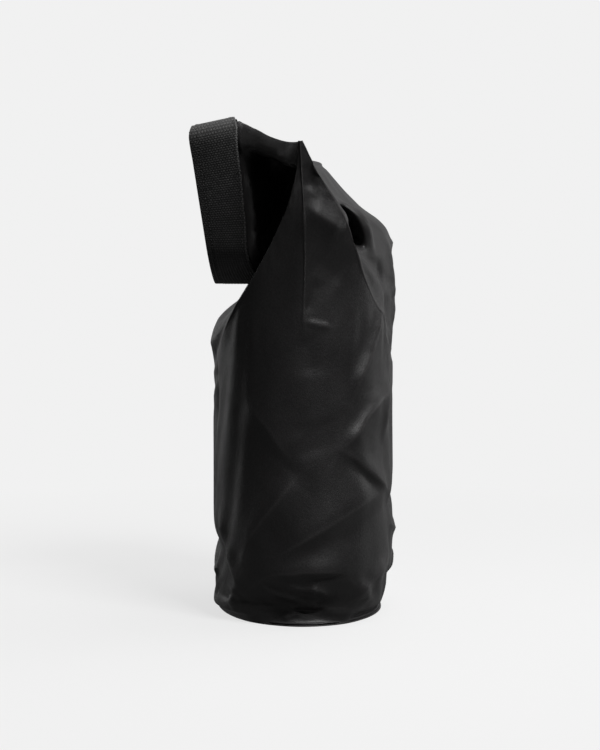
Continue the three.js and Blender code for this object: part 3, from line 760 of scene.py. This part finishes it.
SIM_STEP = 2  # every second row and column takes part
SIM_FRAMES = 20
SIM_CAP = 3.0  # the furthest that it may move the wall
SLACK = 0.005  # how much the cloth is larger, as a share
LOOSE_HOLD = 0.16  # how firmly the free cloth is held
HOLD_LEVELS = 10
SMOOTH_PASSES = 4
CLOTH_SETTINGS = {
    "quality": 5, "mass": 0.2, "tension_stiffness": 25, "compression_stiffness": 25,
    "shear_stiffness": 10, "bending_stiffness": 8, "shrink_min": -SLACK,
    "vertex_group_mass": "hold", "pin_stiffness": 0.6,
}


def spread_rows(values, at, count):
    """Values on some rows, carried to every row."""
    flat = values.reshape(len(values), -1)
    rows = np.arange(count)
    i = np.clip(np.searchsorted(at, rows, side="right") - 1, 0, len(at) - 2)
    t = ((rows - at[i]) / (at[i + 1] - at[i]))[:, None]
    return mix(flat[i], flat[i + 1], t).reshape(count, *values.shape[1:])


def settle(wall):
    """Lets the wall buckle and sag as cloth with a little slack, held loosely in its place, and
    returns how far each point moved. The foot, the crease and the gores' folds are held."""
    rows = np.unique(np.r_[np.arange(0, len(wall), SIM_STEP), len(wall) - 1])
    coarse = wall[rows][:, ::SIM_STEP]
    count, columns = coarse.shape[:2]
    mesh = bpy.data.meshes.new("settling_cloth")
    faces = grid_faces(count, columns, closed=True)
    mesh.from_pydata((coarse.reshape(-1, 3) * MM).tolist(), [], faces)
    piece = add_object("settling_cloth", mesh)
    z = coarse[..., 2]
    parts = ring_columns()[0][::SIM_STEP]
    fold = (np.abs(parts - 1) < 0.03)[None, :] * ease(z, 275, 310)
    ends = np.maximum(1 - ease(z, 4, 12), ease(z, 425, 440))
    hold = np.maximum(LOOSE_HOLD, np.maximum(fold, ends))
    grip = np.round(hold * HOLD_LEVELS).astype(int).ravel()
    group = piece.vertex_groups.new(name="hold")
    for level in np.unique(grip):
        group.add(np.flatnonzero(grip == level).tolist(), level / HOLD_LEVELS, "REPLACE")
    cloth = piece.modifiers.new("drape", "CLOTH")
    for key, value in CLOTH_SETTINGS.items():
        setattr(cloth.settings, key, value)
    cloth.point_cache.frame_start = 1
    cloth.point_cache.frame_end = SIM_FRAMES
    scene = bpy.context.scene
    for step in range(1, SIM_FRAMES + 1):
        scene.frame_set(step)
    settled = piece.evaluated_get(bpy.context.evaluated_depsgraph_get()).data
    points = np.zeros(count * columns * 3)
    settled.vertices.foreach_get("co", points)
    scene.frame_set(1)
    bpy.data.objects.remove(piece)
    moved = points.reshape(count, columns, 3) / MM - coarse
    size = np.maximum(np.linalg.norm(moved, axis=-1, keepdims=True), 1e-6)
    moved = moved * (SIM_CAP * np.tanh(size / SIM_CAP) / size)
    moved = spread_rows(moved, rows, len(wall)).transpose(1, 0, 2)
    moved = np.concatenate([moved, moved[:1]])
    moved = spread_rows(moved, np.arange(columns + 1) * SIM_STEP, len(wall[0]))
    moved = moved.transpose(1, 0, 2)
    for _ in range(SMOOTH_PASSES):
        moved = (np.roll(moved, 1, axis=1) + 2 * moved + np.roll(moved, -1, axis=1)) / 4
    return moved


FOOT_CALM = (4, 34)  # heights over which folds lose their lift towards the floor
BODY_ROW = 60  # its length round the bag is the flat cloth's width


def make_wall():
    """The whole wall, seam to seam, and how much lighter each point of it is painted: rubbed wear and
    painted highlight on crests and edges.
    """
    plain = plain_wall()
    normals = grid_normals(plain, closed=True)
    wall = plain + pocket_shift(plain, normals)
    wall = wall + settle(wall)
    folds, rub_and_highlight = fold_heights(plain, normals)
    push = folds[..., None] * normals
    push[..., 2] *= ease(plain[..., 2], *FOOT_CALM)
    wall = wall + push
    edges, edge_rub_and_highlight = seam_heights(plain)
    wall = wall + edges[..., None] * normals
    wall[..., 2] = np.maximum(wall[..., 2], 0.0)
    return wall, np.clip(np.maximum(rub_and_highlight, edge_rub_and_highlight), 0, 1)


def share_normals(piece, normals):
    """Shades the drawn face with these normals, so that it runs on smoothly past its seams."""
    mesh = piece.data
    own = np.zeros((len(mesh.vertices), 3))
    mesh.vertices.foreach_get("normal", own.ravel())
    own[: len(normals)] = normals
    mesh.normals_split_custom_set_from_vertices(own.tolist())


def rest_on_floor(piece):
    for vertex in piece.data.vertices:
        vertex.co.z = max(vertex.co.z, 0.0)


def make_body():
    wall, rub_and_highlight = make_wall()
    normals = grid_normals(wall, closed=True)
    for face, start in (("front", 0), ("rear", RIGHT_SEAM)):
        columns = (np.arange(2 * QUARTER + 1) + start) % COLUMNS
        points = wall[:, columns]
        uv = flat_lengths(points, BODY_ROW)
        piece = add_sheet(face + "_cloth", points, CLOTH, "coated_cloth", uv=uv, wear=rub_and_highlight[:, columns])
        rest_on_floor(piece)
        share_normals(piece, normals[:, columns].reshape(-1, 3))
        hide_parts(face + "_panel")
        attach(piece, "bag")
    return wall


# ---- Neck and the webbing ring ----
FLAT_HALF_WIDTH = 165.0  # the mouth pressed flat, middle to side
FLANGE = 25.0  # the neck's side edges hang down this far
RING_MIDDLE = np.array([0.0, -75.0, 405.0])
RING_LEAN = math.radians(9)
RING_HALF_WIDTH = 38.0
RING_BOTTOM = -78.5  # along the ring's leaning height
RING_TOP = 75.5
RING_CORNER = 8.0
BAND_LEAD = 6.0
BAND_TILT = math.radians(12)  # the free edge dips at the top
# How far the sewn edge spreads, in degrees, at distances round the ring from the bottom.
BAND_FLARE = [(0, 0), (24, 24), (46, 36), (80, 32), (120, 26), (158, 20), (178, 7), (200, 0), (260, 0)]
BOTTOM_ARC = RING_HALF_WIDTH * math.pi / 2
SIDE_TOP = BOTTOM_ARC + RING_TOP - RING_CORNER - RING_BOTTOM - RING_HALF_WIDTH
CORNER_ARC = RING_CORNER * math.pi / 2
WEB_END = SIDE_TOP + CORNER_ARC - 0.5
CLOTH_OUT = 0.7  # the drawn face of each neck cloth, from the middle surface
CREASE_HALF = 131.0  # the part of the crease that the neck leaves, middle to side
HUNG_START = (134, -6, 438)  # where the neck's hanging side edges run from and to
HUNG_END = (141, -2, 463)
TAB_OFFSET = 2.6  # each leg of a tab, from the middle surface


def ring_line(distance):
    """The ring's middle line at a distance round it from the bottom: x, height and heading."""
    way = np.abs(distance)
    hand = np.where(distance < 0, -1, 1)
    low = np.minimum(way, BOTTOM_ARC) / RING_HALF_WIDTH
    turned = np.clip((way - SIDE_TOP) / RING_CORNER, 0, math.pi / 2)
    rest = np.maximum(way - SIDE_TOP - CORNER_ARC, 0)
    run = np.clip(way, BOTTOM_ARC, SIDE_TOP) - BOTTOM_ARC
    x = RING_HALF_WIDTH * np.sin(low) - RING_CORNER * (1 - np.cos(turned)) - rest
    height = RING_BOTTOM + RING_HALF_WIDTH * (1 - np.cos(low)) + run + RING_CORNER * np.sin(turned)
    heading = low + turned
    return hand * x, height, np.cos(heading), hand * np.sin(heading)


def band_point(distance, across, outward=0.0):
    """A point of the band: distance round the ring, across from the sewn edge (-) to the free
    edge (+), and outward from its middle surface."""
    distance, across, outward = np.broadcast_arrays(distance, across, outward)
    x, height, along_x, along_up = ring_line(distance)
    up = np.array([0, -math.sin(RING_LEAN), math.cos(RING_LEAN)])
    tilt = BAND_TILT * ease(height, RING_BOTTOM, RING_TOP)
    way = np.abs(distance)
    flare = np.radians(read_table(BAND_FLARE, way)) * np.sign(distance)
    straight = np.stack([0 * tilt, -np.cos(tilt), -np.sin(tilt)], axis=-1)
    axis = mix(straight, 0, (1 - np.cos(flare))[..., None]) - np.sin(flare)[..., None] * X_WAY
    tangent = along_x[..., None] * X_WAY + along_up[..., None] * up
    normal = unit(np.cross(tangent, axis))
    point = RING_MIDDLE + x[..., None] * X_WAY + height[..., None] * up
    free = point + straight * BAND / 2
    return free + (across - BAND / 2)[..., None] * axis + outward[..., None] * normal


def neck_start(distance):
    """Where the neck's cloth leaves the crease."""
    way = np.abs(distance)
    hand = np.sign(distance)
    inner = FLAT_HALF_WIDTH - FLANGE
    t = np.clip((way - inner) / FLANGE, 0, 1)
    drop = 9 * ease(way, 95, inner)
    along = CREASE_HALF * distance / inner
    flat = np.stack([along, CREASE_Y + 0.3 - 0.9 * drop, CREASE_Z + 0.8 - drop], axis=-1)
    hung = np.stack([mix(a, b, t) for a, b in zip(HUNG_START, HUNG_END)], axis=-1)
    hung[:, 0] *= hand
    return np.where((way > inner)[..., None], hung, flat)


def ring_distance(flat):
    """Where a point of the mouth's flat edge lies round the ring: its ends reach the corners."""
    return flat + np.sign(flat) * 11 * ease(np.abs(flat), 110, FLAT_HALF_WIDTH)


def neck_grid(rows):
    """The neck's middle surface from the crease to the band, and the band's part of it."""
    flat = np.linspace(-FLAT_HALF_WIDTH, FLAT_HALF_WIDTH, 221)
    start = neck_start(flat)
    ring = ring_distance(flat)
    way = np.abs(flat)
    sewn = band_point(ring, -BAND / 2)
    side = ease(way, 30, 75) * (1 - ease(way, 130, 146))
    lead = band_point(ring, -BAND / 2 - BAND_LEAD - 14 * side)
    tuck = side[:, None] * np.stack([-115 * np.sign(flat), 0 * flat, 14 + 0 * flat], axis=-1)
    bend = mix(start, lead, 0.4) + tuck
    middle = 1 - ease(way, 40, 100)[:, None]
    bend = bend + middle * np.array([0, 15.0, -22.0])
    rise = ease(way, FLAT_HALF_WIDTH - FLANGE, FLAT_HALF_WIDTH)[:, None]
    bend = bend - rise * np.array([0, 0, 14.0])
    t = np.linspace(0, 1, rows)[:-1, None, None]
    curve = (1 - t) ** 3 * start + 3 * (1 - t) ** 2 * t * bend + 3 * (1 - t) * t**2 * lead + t**3 * sewn
    return curve, flat


NECK_ROW = 20  # its length is the neck's flat width


def make_necks():
    curve, flat = neck_grid(46)
    rows, columns = curve.shape[:2]
    free = np.linspace(0, 1, rows)[:, None]
    fade = ease(free, 0, 0.12) * (1 - ease(free, 0.86, 1.0))
    ripple = smooth_noise((rows, columns), (4, 14), 5) * 3.2
    ripple = ripple + smooth_noise((rows, columns), (8, 34), 6) * 1.2
    calm = 1 - 0.6 * ease(np.abs(flat), FLAT_HALF_WIDTH - FLANGE - 14, FLAT_HALF_WIDTH - 10)
    curve = curve + (ripple * fade * calm)[..., None] * grid_normals(curve)
    for node, side in (("front_neck", 1), ("rear_neck", -1)):
        outward = side * CLOTH_OUT
        skin = curve + outward * grid_normals(curve)
        across = np.linspace(-BAND / 2, BAND / 2, 12)[:, None]
        grid = np.concatenate([skin, band_point(ring_distance(flat), across, outward)])
        grid = grid if side > 0 else grid[:, ::-1]
        flats = {"uv": flat_lengths(grid, NECK_ROW), "wear": np.zeros(grid.shape[:2])}
        piece = add_sheet(node + "_cloth", grid, CLOTH, "coated_cloth", **flats)
        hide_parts(node)
        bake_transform(piece)


# How far out the back of each layer lies, over the cloth and over a tab.
WEB_OUT = {1: (1.65, 3.4), -1: (3.85, 3.4)}
WEB_THICKNESS = 1.5
END_TAPER = 3.0  # the ends narrow by this on each side
STITCH_LINES = (-BAND / 2 + 4.0, BAND / 2 - 8.5)
STITCH_LENGTH = 3.0
STITCH_GAP = 0.5
STITCH_RADIUS = 0.33


def web_offsets(distance, side):
    return mix(*WEB_OUT[side], ease(np.abs(distance), FLAT_HALF_WIDTH - 20, SIDE_TOP))


def web_half_width(distance):
    return BAND / 2 - END_TAPER * ease(np.abs(distance), SIDE_TOP, WEB_END)


def make_webbing(name, node, side):
    """A strip of ribbed webbing with its relief on both faces, sewn over the neck's edge."""
    distance = np.linspace(-WEB_END, WEB_END, 560)[None, :]
    share = np.linspace(-1, 1, 62)[:, None]
    across = share * web_half_width(distance)
    base = web_offsets(distance, side)
    warp = np.abs(np.sin(math.pi * across / WARP_PITCH)) ** 0.6
    parity = np.floor(across / WARP_PITCH) % 2
    weft = 0.5 + 0.5 * np.cos(2 * math.pi * (distance / WEFT_PITCH + parity / 2))
    body = 1 - ease(np.abs(across), BAND / 2 - 3.0, BAND / 2 - 1.0)
    if side > 0:
        body = body * (1 - ease(across, BAND / 2 - 9.0, BAND / 2 - 7.5))
    edge = 0.9 * ease(np.abs(share), 0.965, 1.0) ** 2
    relief = (0.26 * warp * (0.45 + 0.55 * weft)) * body - edge
    groove = sum(np.exp(-(((across - line) / 0.8) ** 2)) for line in STITCH_LINES)
    relief = relief - 0.3 * groove
    top = band_point(distance, across, side * (base + WEB_THICKNESS + relief))
    under = band_point(distance, across, side * (base + 0.2 * (edge > 0.01)))
    rows, columns = top.shape[:2]
    points = np.concatenate([top.reshape(-1, 3), under.reshape(-1, 3)])
    shell = np.array(grid_faces(rows, columns))
    count = rows * columns
    index = np.arange(count).reshape(rows, columns)
    rim = np.concatenate([index[0], index[1:, -1], index[-1, -2::-1], index[-2:0:-1, 0]])
    back = np.roll(rim, -1)
    sides = np.stack([rim, rim + count, back + count, back], axis=1)
    faces = np.concatenate([shell, shell[:, ::-1] + count, sides])
    if side < 0:
        faces = faces[:, ::-1]
    uv = np.stack(np.broadcast_arrays(across, distance), axis=-1).reshape(-1, 2)
    # lighter at the ring's top corners: painted highlight on the top bend, plus wear at the ends by the
    # buckle
    worn_and_lit_top = 0.8 * ease(np.abs(distance), SIDE_TOP - 6, SIDE_TOP + 8)
    rub_and_highlight = np.broadcast_to(worn_and_lit_top, top.shape[:2]).ravel()
    piece = add_mesh(
        name, points, faces.tolist(), "webbing",
        uv=np.concatenate([uv, uv]), wear=np.concatenate([rub_and_highlight, rub_and_highlight]),
    )
    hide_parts(node)
    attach(piece, "collar")


def make_stitches(name, side):
    """Rows of lockstitch along the webbing, each stitch a short plump thread."""
    points = []
    faces = []
    profile = STITCH_RADIUS * np.array([0.5, 1.0, 1.0, 1.0, 0.5])
    arch = 0.38 * np.sin(np.linspace(0, math.pi, len(profile))) - 0.1
    turns = np.linspace(0, 2 * math.pi, 6, endpoint=False)
    rows, spokes = len(profile), len(turns)
    for line in STITCH_LINES:
        for start in np.arange(-WEB_END + 8, WEB_END - 8, STITCH_LENGTH + STITCH_GAP):
            step = start + np.linspace(0, STITCH_LENGTH, rows)
            lift = web_offsets(step, side) + 1.3 + arch
            centre = band_point(step, line, side * lift)
            along = unit(np.gradient(centre, axis=0))
            outward = unit(band_point(step, line, side * (lift + 1)) - centre)
            across = np.cross(along, outward)
            first = len(points)
            for k in range(rows):
                for turn in turns:
                    spoke = math.cos(turn) * across[k] + math.sin(turn) * outward[k]
                    points.append(centre[k] + profile[k] * spoke)
            tube = first + np.array(grid_faces(rows, spokes, closed=True))[:, [0, 3, 2, 1]]
            faces += tube.tolist()
            last = first + (rows - 1) * spokes
            faces.append([first + n for n in range(spokes)])
            faces.append([last + n for n in range(spokes - 1, -1, -1)])
    piece = add_mesh(name, points, faces, "webbing", "thread")
    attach(piece, "collar")


STIFFENER_HALF = 18.0  # half its width
STIFFENER_END = 22.0  # it stops this far short of the mouth's sides
STIFFENER_OUT = 2.3


def make_stiffener():
    """The strip between the rear cloth and its webbing that keeps the mouth's edge straight."""
    reach = FLAT_HALF_WIDTH - STIFFENER_END
    distance = np.linspace(-reach, reach, 160)[None, :]
    across = np.linspace(-STIFFENER_HALF, STIFFENER_HALF, 9)[:, None]
    grid = band_point(distance, across, -STIFFENER_OUT)[:, ::-1]
    piece = add_sheet("mouth_strip", grid, 0.8, "stiffener")
    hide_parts("mouth_stiffener")
    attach(piece, "collar")


TAB_WIDTH = 29.0
BUCKLE_HALF = 29.5  # half the buckle's length, between its two bars' ends
BAR_X = BUCKLE_HALF - 4


def make_tab(name, node, hand):
    """A narrow tab that leaves the band's end, goes round the buckle's bar and comes back."""
    seat = band_point(WEB_END + RING_HALF_WIDTH, 0.0)
    width_way = np.array([0, math.cos(BAND_TILT), math.sin(BAND_TILT)])
    thick_way = np.array([0, -math.sin(BAND_TILT), math.cos(BAND_TILT)])
    leg = hand * np.linspace(SIDE_TOP - 14, WEB_END, 16)[None, :]
    across = np.linspace(-TAB_WIDTH / 2, TAB_WIDTH / 2, 25)[:, None]
    turn = np.linspace(math.pi / 2, math.pi * 1.5, 24)[None, :, None]
    x = hand * (BAR_X + TAB_OFFSET * np.cos(turn)) * X_WAY
    loop = np.array([0, seat[1], seat[2]]) + x - across[..., None] * width_way
    loop = loop + TAB_OFFSET * np.sin(turn) * thick_way
    outer = band_point(leg, across, TAB_OFFSET)
    inner = band_point(leg, across, -TAB_OFFSET)[:, ::-1]
    grid = np.concatenate([outer, loop, inner], axis=1)
    grid = grid if hand > 0 else grid[:, ::-1]
    normal = grid_normals(grid)
    rib = np.abs(np.sin(math.pi * across / WARP_PITCH)) ** 0.6
    uv = flat_lengths(grid.transpose(1, 0, 2), 4).transpose(1, 0, 2)
    grid = grid + (0.12 * rib)[..., None] * normal
    wear = np.full(grid.shape[:2], 0.2)
    piece = add_sheet(name, grid, 0.9, "webbing", uv=uv, wear=wear)
    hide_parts(node)
    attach(piece, "collar")


def make_base(wall):
    """The oval base, drawn in from the wall's foot, and the tape welded over its seam."""
    rim = wall[0]
    share = np.linspace(1.0, 0.02, 30)[:, None, None]
    grid = rim[None] * share * np.array([1, 1, 0])
    bumps = smooth_noise(grid.shape[:2], (7, 22), 21)
    bumps[:, -1] = bumps[:, 0]
    inner = 1 - share[..., 0]
    grid[..., 2] = 0.25 + 1.1 * np.abs(bumps) * ease(inner, 0.05, 0.3) * (1 - ease(inner, 0.8, 0.97))
    faces = grid_faces(*grid.shape[:2], closed=True)
    first = (len(grid) - 1) * COLUMNS
    faces.append([first + k for k in range(COLUMNS)])
    faces = [face[::-1] for face in faces]
    piece = add_mesh(
        "base_cloth", grid, faces, "coated_cloth",
        uv=grid[..., :2], wear=0.35 * np.abs(bumps),
    )
    thicken(piece, CLOTH)
    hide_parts("base_panel")
    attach(piece, "bag")
    band = rim[None] * np.linspace(0.975, 0.84, 7)[:, None, None] * np.array([1, 1, 0])
    band[..., 2] = 2.4 + 0.15 * smooth_noise(band.shape[:2], (3, 60), 22)
    ring = add_sheet("base_seam_strip", band, 0.4, "seam_tape", closed=True)
    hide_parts("base_seam_tape")
    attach(ring, "bag")


TAPE_COLUMNS = 5  # columns of the wall on each side of the seam


def make_side_tapes(wall):
    """The tape welded over each side seam, inside the bag."""
    heights = wall_heights()
    rows = (heights > 30) & (heights < 398)
    for hand, column in (("right", RIGHT_SEAM), ("left", 0)):
        columns = np.arange(column - TAPE_COLUMNS, column + TAPE_COLUMNS + 1) % COLUMNS
        grid = wall[rows][:, columns]
        grid = grid - 1.1 * grid_normals(grid)
        strip = add_sheet(hand + "_seam_strip", grid, 0.35, "seam_tape")
        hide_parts(hand + "_seam_tape")
        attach(strip, "bag")


BUCKLE_BODIES = {"rear_prong": "rear_release", "front_prong": "front_release"}
BUCKLE_ROUNDING = 0.35


def make_buckle():
    """The side-release buckle: each moulding with its edges rounded over."""
    for node in ("buckle_socket", "buckle_plug", "rear_prong", "front_prong"):
        piece = frame["nodes"][node].copy()
        piece.data = frame["nodes"][node].data.copy()
        piece.name = node + "_moulding"
        piece.parent = None
        for key in list(piece.keys()):
            if key.startswith("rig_"):
                del piece[key]
        bpy.context.scene.collection.objects.link(piece)
        mesh = bmesh.new()
        mesh.from_mesh(piece.data)
        bmesh.ops.remove_doubles(mesh, verts=mesh.verts, dist=0.02 * MM)
        bmesh.ops.dissolve_limit(mesh, angle_limit=math.radians(1), verts=mesh.verts, edges=mesh.edges)
        mesh.to_mesh(piece.data)
        mesh.free()
        piece.data.materials.clear()
        piece.data.materials.append(LOOKS["buckle_plastic"])
        rounded = piece.modifiers.new("rounded", "BEVEL")
        rounded.width = BUCKLE_ROUNDING * MM
        rounded.segments = 3
        rounded.limit_method = "ANGLE"
        rounded.angle_limit = math.radians(35)
        apply_modifiers(piece)
        piece.data.set_sharp_from_angle(angle=math.radians(40))
        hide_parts(node)
        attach(piece, BUCKLE_BODIES.get(node, "collar"))


# ---- Build ----
wall = make_body()
make_base(wall)
make_side_tapes(wall)
make_necks()
make_webbing("outer_webbing", "outer_mouth_webbing", 1)
make_webbing("inner_webbing", "inner_mouth_webbing", -1)
make_stitches("outer_stitches", 1)
make_stitches("inner_stitches", -1)
make_stiffener()
make_tab("plug_side_tab", "plug_tab", 1)
make_tab("socket_side_tab", "socket_tab", -1)
make_buckle()
